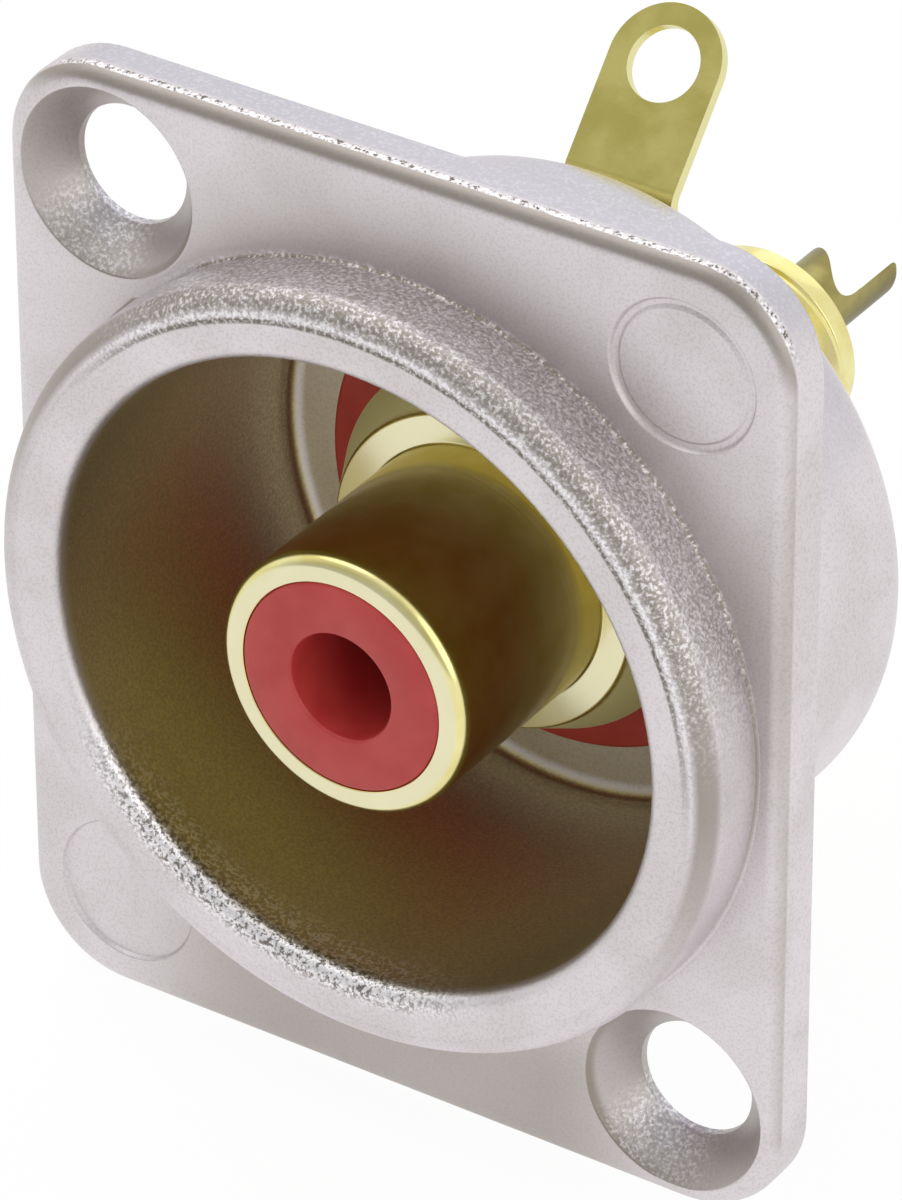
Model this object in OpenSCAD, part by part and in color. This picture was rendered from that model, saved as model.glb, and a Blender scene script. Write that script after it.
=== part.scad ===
// Phono (RCA) chassis socket in a square-flanged panel housing.
// The socket's axis runs along Y, its mouth faces -Y and +Z is up.
// The origin is on the axis, in the rear face of the flange, which seats on the panel.
// Each piece is drawn standing up, with its height counted forward from that face,
// and face_forward() then turns the height to -Y.

/* [Flange] */
// Width of the flange
flange_w = 26; // [25:0.5:30]
// Height of the flange
flange_h = 31; // [30:0.5:36]
// Thickness of the flange
flange_t = 1.7; // [1.5:0.1:3]
// Radius of the flange's corners
flange_corner_r = 3.2; // [2:0.2:4]
// Rounding of the flange's front edge
flange_edge_r = 0.6; // [0.2:0.1:0.9]
// Distance from the flange's edges to the middle of each corner's screw hole or recess
corner_inset = 3.5; // [3.2:0.1:3.8]
// Diameter of the screw holes
screw_hole_d = 3.7; // [3.2:0.1:4]
// Diameter of the countersinks at the front face
countersink_d = 5.9; // [5:0.1:6.2]
// Depth of the countersinks' cones
countersink_depth = 1.3; // [0.8:0.05:1.4]
// Diameter of the two round recesses in the other corners
recess_d = 4.7; // [4:0.1:5.2]
// Depth of the two round recesses
recess_depth = 0.15; // [0.1:0.05:0.4]

/* [Collar and bowl] */
// How far the collar stands in front of the flange
collar_rise = 2.42; // [1.5:0.1:4]
// Rounding of the collar's outer front edge
collar_edge_r = 0.8; // [0.3:0.1:1]
// Diameter of the bowl at its mouth
bowl_mouth_d = 20; // [19:0.1:21]
// How much narrower the bowl is at its floor
bowl_taper = 0.3; // [0.1:0.1:0.8]
// Width of the collar's front round the bowl's mouth
rim_w = 2.1; // [1.7:0.1:2.4]
// Rounding of the bowl's lip
lip_r = 0.5; // [0.2:0.1:0.8]
// Depth of the bowl below the front of the collar
bowl_depth = 11.8; // [11:0.2:14]
// Fillet between the bowl's wall and its floor
floor_fillet_r = 0.5; // [0.2:0.1:0.8]

/* [Rear body] */
// Thickness of the round body's wall at the bowl's mouth
body_wall = 0.7; // [0.6:0.1:1.5]
// Thickness of the bowl's floor
floor_t = 1.64; // [1.4:0.1:3]
// Rounding of the body's rear edge
body_edge_r = 1.6; // [0.5:0.1:2]

/* [Outer contact] */
// Outer diameter of the barrel that the plug's shell grips
barrel_d = 8.2; // [8:0.1:8.4]
// Length of the barrel in front of the step ring
barrel_len = 7.15; // [6.6:0.05:9]
// Rounding of the barrel's front edge
barrel_edge_r = 0.45; // [0.1:0.05:0.5]
// Diameter of the step ring at the barrel's foot
step_ring_d = 10; // [9.4:0.1:11]
// Length of the cone behind the step ring
cone_len = 1.7; // [1.4:0.1:2.5]
// Diameter of the shoulder that sits on the washer
shoulder_d = 11.8; // [11.2:0.1:13]
// Length of the shoulder behind the cone
shoulder_len = 1.96; // [1.6:0.1:3]
// Outer diameter of the threaded stem
stem_d = 6.3; // [5.8:0.1:6.8]
// Length of the threaded stem behind the shoulder
stem_len = 11.8; // [11:0.2:14]
// Chamfer at the stem's end
stem_chamfer = 0.15; // [0.05:0.05:0.5]
// Bore of the stem
stem_bore_d = 4; // [3.8:0.1:4.4]

/* [Insulators] */
// Diameter of the front insulator and of the barrel's bore
insert_d = 6.6; // [6.2:0.1:6.8]
// Diameter of the hole for the plug's pin
pin_hole_d = 3.35; // [3.3:0.05:3.6]
// Depth of the hole for the plug's pin in front of the contact
pin_hole_len = 3.4; // [2:0.1:3.5]
// Rounding of the insulator's front edges
insert_edge_r = 0.12; // [0.05:0.05:0.3]
// Thickness of the disc behind the spring contact
disc_t = 1; // [0.6:0.1:1.2]
// Diameter of the front washer
washer_d = 15.2; // [14:0.2:17]
// Thickness of the front washer
washer_t = 1.15; // [0.8:0.05:1.6]
// Diameter of the rear bush's flange
bush_flange_d = 13; // [11:0.5:16]
// Thickness of the rear bush's flange
bush_flange_t = 0.6; // [0.5:0.1:1.6]
// Diameter of the rear bush's neck in the floor
bush_neck_d = 8; // [7.6:0.1:9]

/* [Centre contact] */
// Outer diameter of the spring tube
spring_d = 4.2; // [4:0.1:4.6]
// Bore of the spring tube, opened as by the plug's pin
spring_bore_d = 3.25; // [3.2:0.01:3.3]
// Length of the spring tube
spring_len = 5.5; // [4:0.1:5.7]
// Thickness of the spring tube's floor
spring_floor_t = 0.5; // [0.3:0.1:1]
// Number of springs that the slots leave
spring_count = 4; // [2:1:6]
// Width of the slots between the springs
spring_slot = 0.4; // [0.3:0.05:0.6]
// Diameter of the shank and of the solder cup
shank_d = 2.42; // [2:0.02:2.8]
// Length of the contact behind the end of the stem
tail_len = 5.6; // [5:0.1:7]
// Bore of the solder cup
cup_bore_d = 1.7; // [1.2:0.1:1.9]
// Depth of the solder cup's bore
cup_depth = 3.6; // [3:0.1:4]
// Length of the cut that opens the cup from the side, along its prong
cup_cut_len = 2.8; // [2.2:0.1:3.2]
// Radius at the foot of that cut
cup_cut_r = 0.6; // [0.4:0.05:0.8]
// Slope of the cup's beak over the cut, away from the axis
cup_beak_slope = 36; // [30:1:70]
// Depth of the prong's top below the cup's axis
prong_drop = 0.6; // [0.3:0.05:0.7]
// Rounding of the prong's end
prong_end_r = 0.3; // [0.1:0.05:0.4]
// Turn of the cup's open side away from straight up
cup_turn = 49; // [0:1:90]

/* [Ground lug] */
// Thickness of the lug's sheet
lug_t = 0.4; // [0.3:0.05:0.8]
// Outer diameter of the lug's ring
lug_ring_d = 10.5; // [9:0.1:12]
// Width of the lug's tab
lug_w = 3.65; // [3:0.05:4.5]
// Distance from the axis to the start of the bend
lug_bend_z = 9; // [8:0.1:11]
// Inner radius of the bend
lug_bend_r = 0.5; // [0.3:0.1:1]
// Distance from the end of the bend to the wire hole
lug_hole_reach = 3.4; // [2.6:0.1:5]
// Angle of the bend
lug_bend = 41; // [10:1:60]
// Diameter of the wire hole
lug_hole_d = 2.3; // [1.8:0.1:2.6]

/* [Nut] */
// Width of the nut across its flats
nut_af = 10; // [9:0.5:12]
// Thickness of the nut
nut_t = 3.2; // [2.5:0.1:5]

/* [Clearances] */
// Clearance round what slides into a bore
slide_clear = 0.05; // [0.02:0.01:0.1]
// Clearance between the stem and what is threaded or pushed over it
stem_clear = 0.05; // [0.02:0.01:0.15]
// Clearance between the bush's neck and the hole in the floor
neck_clear = 0.1; // [0.05:0.05:0.2]
// Gap left at the end of the bush's neck
neck_end_gap = 0.1; // [0.05:0.05:0.3]

/* [Hidden] */

$fn = 96;
arc_steps = 6;
cut = 0.5;
far = 60;

screw_x = flange_w / 2 - corner_inset;
screw_z = flange_h / 2 - corner_inset;
collar_d = bowl_mouth_d + 2 * rim_w;
body_d = bowl_mouth_d + 2 * body_wall;
bowl_floor_d = bowl_mouth_d - bowl_taper;
collar_top = flange_t + collar_rise;
floor_z = collar_top - bowl_depth;
body_end = floor_z - floor_t;
floor_hole_d = bush_neck_d + 2 * neck_clear;

washer_front = floor_z + washer_t;
cone_end = washer_front + shoulder_len;
ring_front = cone_end + cone_len;
barrel_front = ring_front + barrel_len;
stem_end = washer_front - stem_len;

contact_front = barrel_front - pin_hole_len;
contact_back = contact_front - spring_len;
insert_back = contact_back;
shell_bore_end = insert_back - disc_t;
sleeve_bore_d = shank_d + 2 * slide_clear;
tail_end = stem_end - tail_len;

bush_rear = body_end - bush_flange_t;
lug_rear = bush_rear - lug_t;
nut_rear = lug_rear - nut_t;
over_stem_d = stem_d + 2 * stem_clear;
nut_corner_r = nut_af / 2 / cos(30);
nut_chamfer = (nut_corner_r - nut_af / 2) * tan(30);

// Turns a piece drawn standing up so that its height points forward, along -Y
module face_forward() {
    rotate([90, 0, 0])
        children();
}

// Points of an arc about (cx, cy) from angle a to angle b
function arc(cx, cy, r, a, b) =
    [for (i = [0 : arc_steps])
        let (t = a + (b - a) * i / arc_steps)
            [cx + r * cos(t), cy + r * sin(t)]];

// Solid of revolution of a tube section, from z0 up to z1
module tube(outer_d, inner_d, z0, z1) {
    translate([0, 0, z0])
        difference() {
            cylinder(h = z1 - z0, d = outer_d);
            translate([0, 0, -cut])
                cylinder(h = z1 - z0 + 2 * cut, d = inner_d);
        }
}

// Bar of length l along X, w wide and h high, with its two long top edges rounded
module rounded_bar(l, w, h, r) {
    rotate([90, 0, 90])
        translate([0, 0, -l / 2])
            linear_extrude(l)
                polygon(concat(
                    [[-w / 2, 0], [w / 2, 0]],
                    arc(w / 2 - r, h - r, r, 0, 90),
                    arc(-w / 2 + r, h - r, r, 90, 180)
                ));
}

// Plate with round corners and a rounded top edge
module flange_plate() {
    corner_x = flange_w / 2 - flange_corner_r;
    corner_z = flange_h / 2 - flange_corner_r;
    rounded_bar(2 * corner_x, flange_h, flange_t, flange_edge_r);
    rotate([0, 0, 90])
        rounded_bar(2 * corner_z, flange_w, flange_t, flange_edge_r);
    for (sx = [-1, 1], sz = [-1, 1])
        translate([sx * corner_x, sz * corner_z, 0])
            rotate_extrude()
                polygon(concat(
                    [[0, 0], [flange_corner_r, 0]],
                    arc(flange_corner_r - flange_edge_r, flange_t - flange_edge_r,
                        flange_edge_r, 0, 90),
                    [[0, flange_t]]
                ));
}

// Collar in front of the flange, with its rounded outer edge
module collar() {
    r = collar_d / 2;
    rotate_extrude()
        polygon(concat(
            [[0, 0], [r, 0]],
            arc(r - collar_edge_r, collar_top - collar_edge_r, collar_edge_r, 0, 90),
            [[0, collar_top]]
        ));
}

// Round body behind the flange, with its rounded rear edge
module rear_body() {
    r = body_d / 2;
    rotate_extrude()
        polygon(concat(
            [[0, flange_t / 2], [0, body_end]],
            arc(r - body_edge_r, body_end + body_edge_r, body_edge_r, -90, 0),
            [[r, flange_t / 2]]
        ));
}

// Hollow of the bowl, from its filleted floor to its rounded lip
module bowl_hollow() {
    mouth_r = bowl_mouth_d / 2;
    floor_r = bowl_floor_d / 2;
    rotate_extrude()
        polygon(concat(
            [[0, floor_z]],
            arc(floor_r - floor_fillet_r, floor_z + floor_fillet_r, floor_fillet_r, -90, 0),
            arc(mouth_r + lip_r, collar_top - lip_r, lip_r, 180, 90),
            [[mouth_r + lip_r, collar_top + cut], [0, collar_top + cut]]
        ));
}

// Screw hole with its cone, opening at the top of the flange
module countersunk_hole() {
    slope = (countersink_d - screw_hole_d) / 2 / countersink_depth;
    translate([0, 0, -cut])
        cylinder(h = collar_top + 2 * cut, d = screw_hole_d);
    translate([0, 0, flange_t - countersink_depth])
        cylinder(
            h = countersink_depth + cut,
            d1 = screw_hole_d,
            d2 = countersink_d + 2 * cut * slope
        );
}

module housing() {
    color("silver")
        face_forward()
            difference() {
                union() {
                    flange_plate();
                    collar();
                    rear_body();
                }
                bowl_hollow();
                translate([0, 0, body_end - cut])
                    cylinder(h = floor_t + 2 * cut, d = floor_hole_d);
                for (s = [-1, 1]) {
                    translate([-s * screw_x, s * screw_z, 0])
                        countersunk_hole();
                    translate([s * screw_x, s * screw_z, flange_t - recess_depth])
                        cylinder(h = recess_depth + cut, d = recess_d);
                }
            }
}

module front_washer() {
    color("firebrick")
        face_forward()
            tube(washer_d, over_stem_d, floor_z, washer_front);
}

// Turned outer contact: barrel, step ring, cone, shoulder and threaded stem
module outer_contact() {
    color("gold")
        face_forward()
            difference() {
                rotate_extrude()
                    polygon(concat(
                        [[0, stem_end], [stem_d / 2 - stem_chamfer, stem_end]],
                        [[stem_d / 2, stem_end + stem_chamfer], [stem_d / 2, washer_front]],
                        [[shoulder_d / 2, washer_front], [shoulder_d / 2, cone_end]],
                        [[step_ring_d / 2, ring_front], [barrel_d / 2, ring_front]],
                        arc(barrel_d / 2 - barrel_edge_r, barrel_front - barrel_edge_r,
                            barrel_edge_r, 0, 90),
                        [[0, barrel_front]]
                    ));
                translate([0, 0, shell_bore_end])
                    cylinder(h = barrel_front - shell_bore_end + cut, d = insert_d);
                translate([0, 0, stem_end - cut])
                    cylinder(h = shell_bore_end - stem_end + 2 * cut, d = stem_bore_d);
            }
}

// Insert in the barrel, with the hole for the plug's pin and the room for the spring tube
module front_insulator() {
    r = insert_d / 2;
    hole_r = pin_hole_d / 2;
    room_r = spring_d / 2 + slide_clear;
    color("crimson")
        face_forward()
            rotate_extrude()
                polygon(concat(
                    [[room_r, insert_back], [r, insert_back]],
                    arc(r - insert_edge_r, barrel_front - insert_edge_r, insert_edge_r, 0, 90),
                    arc(hole_r + insert_edge_r, barrel_front - insert_edge_r,
                        insert_edge_r, 90, 180),
                    [[hole_r, contact_front], [room_r, contact_front]]
                ));
}

// Disc behind the spring tube and the sleeve that runs through the stem
module stem_insulator() {
    sleeve_d = stem_bore_d;
    color("white")
        face_forward()
            rotate_extrude()
                polygon([
                    [sleeve_bore_d / 2, stem_end],
                    [sleeve_d / 2, stem_end],
                    [sleeve_d / 2, shell_bore_end],
                    [insert_d / 2, shell_bore_end],
                    [insert_d / 2, insert_back],
                    [sleeve_bore_d / 2, insert_back]
                ]);
}

// Cut that opens the solder cup on its +Y side, drawn from the cup's end and run through it
module cup_cut() {
    foot_x = cup_cut_r - cup_cut_len;
    foot_y = cup_cut_r - prong_drop;
    beak_top = 90 + cup_beak_slope;
    run = 2 * shank_d;
    out_x = foot_x + cup_cut_r * cos(beak_top) + run * cos(cup_beak_slope);
    out_y = foot_y + cup_cut_r * sin(beak_top) + run * sin(cup_beak_slope);
    translate([0, 0, tail_end])
        rotate([0, 90, 0])
            linear_extrude(run, center = true)
                polygon(concat(
                    arc(foot_x, foot_y, cup_cut_r, 270, beak_top),
                    [[out_x, out_y], [out_x, -prong_drop - prong_end_r]],
                    arc(-prong_end_r, -prong_drop - prong_end_r, prong_end_r, 0, 90)
                ));
}

module centre_contact() {
    bore_floor = contact_back + spring_floor_t;
    color("gold")
        face_forward()
            difference() {
                union() {
                    translate([0, 0, contact_back])
                        cylinder(h = spring_len, d = spring_d);
                    translate([0, 0, tail_end])
                        cylinder(h = contact_back - tail_end, d = shank_d);
                }
                translate([0, 0, bore_floor])
                    cylinder(h = spring_len, d = spring_bore_d);
                for (i = [0 : spring_count - 1])
                    rotate([0, 0, 45 + i * 360 / spring_count])
                        translate([0, -spring_slot / 2, bore_floor + spring_slot])
                            cube([spring_d, spring_slot, spring_len]);
                translate([0, 0, tail_end - cut])
                    cylinder(h = cup_depth + cut, d = cup_bore_d);
                rotate([0, 0, cup_turn])
                    cup_cut();
            }
}

// Shouldered bush: its flange lies behind the floor, its neck fills the floor's hole
module rear_bush() {
    neck_end = floor_z - neck_end_gap;
    color("firebrick")
        face_forward()
            rotate_extrude()
                polygon([
                    [over_stem_d / 2, bush_rear],
                    [bush_flange_d / 2, bush_rear],
                    [bush_flange_d / 2, body_end],
                    [bush_neck_d / 2, body_end],
                    [bush_neck_d / 2, neck_end],
                    [over_stem_d / 2, neck_end]
                ]);
}

// Tab of the lug beyond its bend, drawn flat
module lug_tip() {
    difference() {
        union() {
            translate([-lug_w / 2, 0, 0])
                cube([lug_w, lug_hole_reach, lug_t]);
            translate([0, lug_hole_reach, 0])
                cylinder(h = lug_t, d = lug_w);
        }
        translate([0, lug_hole_reach, -cut])
            cylinder(h = lug_t + 2 * cut, d = lug_hole_d);
    }
}

// Ring and tab pressed from one sheet; the tab is bent back from the panel
module ground_lug() {
    color("gold")
        face_forward() {
            translate([0, 0, lug_rear])
                difference() {
                    union() {
                        cylinder(h = lug_t, d = lug_ring_d);
                        translate([-lug_w / 2, 0, 0])
                            cube([lug_w, lug_bend_z, lug_t]);
                    }
                    translate([0, 0, -cut])
                        cylinder(h = lug_t + 2 * cut, d = over_stem_d);
                }
            translate([0, lug_bend_z, lug_rear - lug_bend_r]) {
                rotate([0, -90, 0])
                    rotate_extrude(angle = lug_bend)
                        translate([lug_bend_r, -lug_w / 2])
                            square([lug_t, lug_w]);
                rotate([-lug_bend, 0, 0])
                    translate([0, 0, lug_bend_r])
                        lug_tip();
            }
        }
}

module hex_nut() {
    color("gold")
        face_forward()
            difference() {
                intersection() {
                    translate([0, 0, nut_rear])
                        rotate([0, 0, 30])
                            cylinder(h = nut_t, r = nut_corner_r, $fn = 6);
                    rotate_extrude()
                        polygon([
                            [0, nut_rear],
                            [nut_af / 2, nut_rear],
                            [nut_corner_r, nut_rear + nut_chamfer],
                            [nut_corner_r, lug_rear - nut_chamfer],
                            [nut_af / 2, lug_rear],
                            [0, lug_rear]
                        ]);
                }
                translate([0, 0, nut_rear - cut])
                    cylinder(h = nut_t + 2 * cut, d = over_stem_d);
            }
}

housing();
front_washer();
outer_contact();
front_insulator();
stem_insulator();
centre_contact();
rear_bush();
ground_lug();
hex_nut();
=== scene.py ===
"""Looks of a phono panel socket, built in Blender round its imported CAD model.

The socket's axis runs along Y, its mouth faces -Y and +Z is up. The origin is on the axis,
in the rear face of the flange. Sizes are in millimetres until a piece is finished.
"""

import logging
import math
from collections.abc import Callable, Iterable, Sequence
from dataclasses import dataclass
from enum import Enum
from typing import Any

import bmesh
import bpy
from mathutils import Matrix, Vector


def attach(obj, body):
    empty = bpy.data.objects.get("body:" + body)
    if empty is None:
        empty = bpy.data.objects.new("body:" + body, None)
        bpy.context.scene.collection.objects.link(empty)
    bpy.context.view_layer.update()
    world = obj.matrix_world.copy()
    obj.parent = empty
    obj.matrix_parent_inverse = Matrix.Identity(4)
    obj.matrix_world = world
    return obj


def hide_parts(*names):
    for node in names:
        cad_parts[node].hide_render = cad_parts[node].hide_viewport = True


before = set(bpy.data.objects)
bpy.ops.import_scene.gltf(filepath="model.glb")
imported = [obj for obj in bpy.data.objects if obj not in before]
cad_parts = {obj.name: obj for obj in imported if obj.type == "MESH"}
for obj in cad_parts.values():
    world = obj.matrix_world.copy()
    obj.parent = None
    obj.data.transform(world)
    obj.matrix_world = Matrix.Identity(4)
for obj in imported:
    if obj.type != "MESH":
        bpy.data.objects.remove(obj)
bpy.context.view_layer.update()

MM = 0.001
ROOT = "root"
MERGE = 1e-4  # points closer than this are one point
EXACT = 1e-5  # allowance when a place is compared with another
OVER = 0.5  # how far a cutter stands past the face that it cuts
SKIN = 0.002  # how far a cutter's corner stands off that face, so that no two faces coincide
SCREW_X, SCREW_Z = 9.5, 12.0
SKY = (0.34, 0.0, 0.94)  # the direction from which the edges take their sparkle
ACROSS = (0.0, 1.0, 0.0)  # along the socket's axis, so square to the faces across it
TAB_FACE = (0.0, -0.7547, 0.6561)  # the direction that the bent tab's flat looks in

SCREEN_GAMMA = 2.2
WHITE = (1.0, 1.0, 1.0, 1.0)

log = logging.getLogger("phono_socket")
Colour = tuple[float, ...]


class Slot(Enum):
    """Material slots of the record."""

    NICKEL = "nickel_casting"
    GOLD = "gold_plate"
    RED = "red_plastic"
    WHITE = "white_plastic"


class Join(Enum):
    """Ways to combine one solid with another."""

    ADD = "UNION"
    CUT = "DIFFERENCE"
    KEEP_COMMON = "INTERSECT"


# ---------------------------------------------------------------- shapes


@dataclass(frozen=True)
class Corner:
    """Corner of a turned section.

    Args:
        r: Distance from the axis.
        y: Place along the axis, counted backwards.
        soft: Radius of the rounding at this corner.
    """

    r: float
    y: float
    soft: float = 0.0


class Solid:
    """A bmesh in millimetres, with the few workshop steps that the pieces need."""

    STEPS_PER_MM = 22
    FEWEST_STEPS, MOST_STEPS = 3, 14

    def __init__(self, mesh: bmesh.types.BMesh) -> None:
        """Wraps a bmesh."""
        self.mesh = mesh

    @classmethod
    def _section(cls, corners: Sequence[Corner]) -> bmesh.types.BMesh:
        """Draws a section's outline with its rounded corners; a side on the axis is left out."""
        mesh = bmesh.new()
        points = [mesh.verts.new((c.r, c.y, 0.0)) for c in corners]
        places = [v.co.copy() for v in points]
        count = len(points)
        for i, start in enumerate(points):
            end = points[(i + 1) % count]
            if start.co.x != 0.0 or end.co.x != 0.0:
                mesh.edges.new((start, end))
        for i, corner in enumerate(corners):
            if corner.soft <= 0.0:
                continue
            before = places[i - 1] - places[i]
            after = places[(i + 1) % count] - places[i]
            steps = round(corner.soft * cls.STEPS_PER_MM)
            bmesh.ops.bevel(
                mesh,
                geom=[points[i]],
                offset=corner.soft / math.tan(before.angle(after) / 2),
                offset_type="OFFSET",
                segments=max(cls.FEWEST_STEPS, min(cls.MOST_STEPS, steps)),
                profile=0.5,
                affect="VERTICES",
                material=-1,
                clamp_overlap=False,
            )
        return mesh

    @classmethod
    def prism(cls, corners: Sequence[Corner], half: float) -> "Solid":
        """Makes a bar with the given section across X and Y.

        Args:
            corners: The section's corners in order, with X as their distance.
            half: Half its length along Z.

        Returns:
            The bar, centred on the section's plane.
        """
        mesh = cls._section(corners)
        bmesh.ops.contextual_create(mesh, geom=mesh.edges[:])
        bmesh.ops.translate(mesh, vec=(0, 0, -half), verts=mesh.verts)
        pulled = bmesh.ops.extrude_face_region(mesh, geom=mesh.faces[:])["geom"]
        tops = [part for part in pulled if isinstance(part, bmesh.types.BMVert)]
        bmesh.ops.translate(mesh, vec=(0, 0, 2 * half), verts=tops)
        return cls(mesh).tidied()

    @classmethod
    def turned(cls, corners: Sequence[Corner], steps: int = 160) -> "Solid":
        """Turns a closed section round the Y axis.

        Args:
            corners: The section's corners in order; a side that lies on the axis is left open.
            steps: Number of steps in the full turn.

        Returns:
            The turned solid, with its seam and poles closed.
        """
        mesh = cls._section(corners)
        bmesh.ops.spin(
            mesh,
            geom=mesh.verts[:] + mesh.edges[:],
            cent=(0, 0, 0),
            axis=(0, 1, 0),
            dvec=(0, 0, 0),
            angle=math.tau,
            steps=steps,
            use_merge=True,
            use_duplicate=False,
        )
        return cls(mesh).tidied()

    @classmethod
    def block(cls, low: Sequence[float], high: Sequence[float]) -> "Solid":
        """Makes a box between two corners."""
        mesh = bmesh.new()
        bmesh.ops.create_cube(mesh, size=1.0)
        low_corner, high_corner = Vector(low), Vector(high)
        bmesh.ops.scale(mesh, vec=high_corner - low_corner, verts=mesh.verts)
        bmesh.ops.translate(mesh, vec=(low_corner + high_corner) / 2, verts=mesh.verts)
        return cls(mesh)

    @classmethod
    def rod(cls, radius: float, y0: float, y1: float, steps: int = 96) -> "Solid":
        """Makes a plain cylinder round the Y axis, from y0 to y1."""
        corners = [Corner(0, y0), Corner(radius, y0), Corner(radius, y1), Corner(0, y1)]
        return cls.turned(corners, steps)

    def tidied(self) -> "Solid":
        """Merges doubles and turns all faces outwards."""
        bmesh.ops.remove_doubles(self.mesh, verts=self.mesh.verts, dist=MERGE)
        bmesh.ops.recalc_face_normals(self.mesh, faces=self.mesh.faces)
        return self

    def moved(self, x: float = 0.0, y: float = 0.0, z: float = 0.0) -> "Solid":
        """Shifts the solid."""
        bmesh.ops.translate(self.mesh, vec=(x, y, z), verts=self.mesh.verts)
        return self

    def rotated(self, angle: float, axis: str, centre: Sequence[float] = (0, 0, 0)) -> "Solid":
        """Turns the solid by an angle in degrees about an axis through a centre."""
        turn = Matrix.Rotation(math.radians(angle), 3, axis)
        bmesh.ops.rotate(self.mesh, cent=centre, matrix=turn, verts=self.mesh.verts)
        return self

    def softened(
        self, radius: float, segments: int, wanted: Callable[[bmesh.types.BMEdge], bool]
    ) -> "Solid":
        """Rounds the edges that a test picks.

        Args:
            radius: Radius of the rounding.
            segments: Number of steps across it.
            wanted: Test that is true for an edge to round.

        Returns:
            This solid.
        """
        bmesh.ops.bevel(
            self.mesh,
            geom=[e for e in self.mesh.edges if wanted(e)],
            offset=radius,
            offset_type="OFFSET",
            segments=segments,
            profile=0.5,
            affect="EDGES",
            material=-1,
            clamp_overlap=False,
        )
        return self

    def sliced(self, places: Iterable[float], axis: Sequence[float]) -> "Solid":
        """Adds an edge loop round the solid at each place along an axis."""
        for place in places:
            bmesh.ops.bisect_plane(
                self.mesh,
                geom=self.mesh.verts[:] + self.mesh.edges[:] + self.mesh.faces[:],
                plane_co=Vector(axis) * place,
                plane_no=axis,
                dist=EXACT,
            )
        return self

    def combined(self, other: "Solid", how: Join) -> "Solid":
        """Joins this solid with another by an exact boolean, and uses both up.

        Args:
            other: The second solid.
            how: What is kept of the two.

        Returns:
            The new solid.
        """
        body, tool = (part.as_object(name) for part, name in ((self, "body"), (other, "tool")))
        step = body.modifiers.new("join", "BOOLEAN")
        step.operation = how.value
        step.solver = "EXACT"
        step.object = tool
        made = body.evaluated_get(bpy.context.evaluated_depsgraph_get()).to_mesh()
        mesh = bmesh.new()
        mesh.from_mesh(made)
        for used in (body, tool):
            bpy.data.meshes.remove(used.data)
        bmesh.ops.remove_doubles(mesh, verts=mesh.verts, dist=MERGE)
        return Solid(mesh)

    def as_object(self, name: str) -> bpy.types.Object:
        """Turns the bmesh into an object in the scene, and frees it."""
        data = bpy.data.meshes.new(name)
        self.mesh.to_mesh(data)
        self.mesh.free()
        made = bpy.data.objects.new(name, data)
        bpy.context.scene.collection.objects.link(made)
        bpy.context.view_layer.update()
        return made

    def finished(
        self,
        name: str,
        slot: Slot,
        material: bpy.types.Material,
        node: str,
        sharp: float = 32.0,
    ) -> bpy.types.Object:
        """Brings the solid to metres and hands it over as a piece in place of its CAD node.

        Args:
            name: Name of the piece.
            slot: The record's material slot of its finish; not used.
            material: Its material.
            node: CAD node that it stands for.
            sharp: Angle in degrees above which an edge stays sharp.

        Returns:
            The finished object.
        """
        bmesh.ops.scale(self.mesh, vec=(MM, MM, MM), verts=self.mesh.verts)
        piece = self.as_object(name)
        piece.data.shade_smooth()
        piece.data.set_sharp_from_angle(angle=math.radians(sharp))
        weighted = piece.modifiers.new("flat_faces_first", "WEIGHTED_NORMAL")
        weighted.keep_sharp = True
        piece.data.materials.append(material)
        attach(piece, ROOT)
        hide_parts(node)
        log.info("%s: %d faces for node %s", name, len(piece.data.polygons), node)
        return piece


def ease_edges(piece: bpy.types.Object, width: float, angle: float) -> None:
    """Rounds a finished piece's sharp edges by a modifier that runs before the others.

    Args:
        piece: The piece.
        width: Width of the rounding in millimetres.
        angle: Angle in degrees above which an edge is rounded.
    """
    soft = piece.modifiers.new("soft_edges", "BEVEL")
    soft.width = width * MM
    soft.segments = 3
    soft.limit_method = "ANGLE"
    soft.angle_limit = math.radians(angle)
    piece.modifiers.move(1, 0)


# ---------------------------------------------------------------- shader maths


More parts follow.
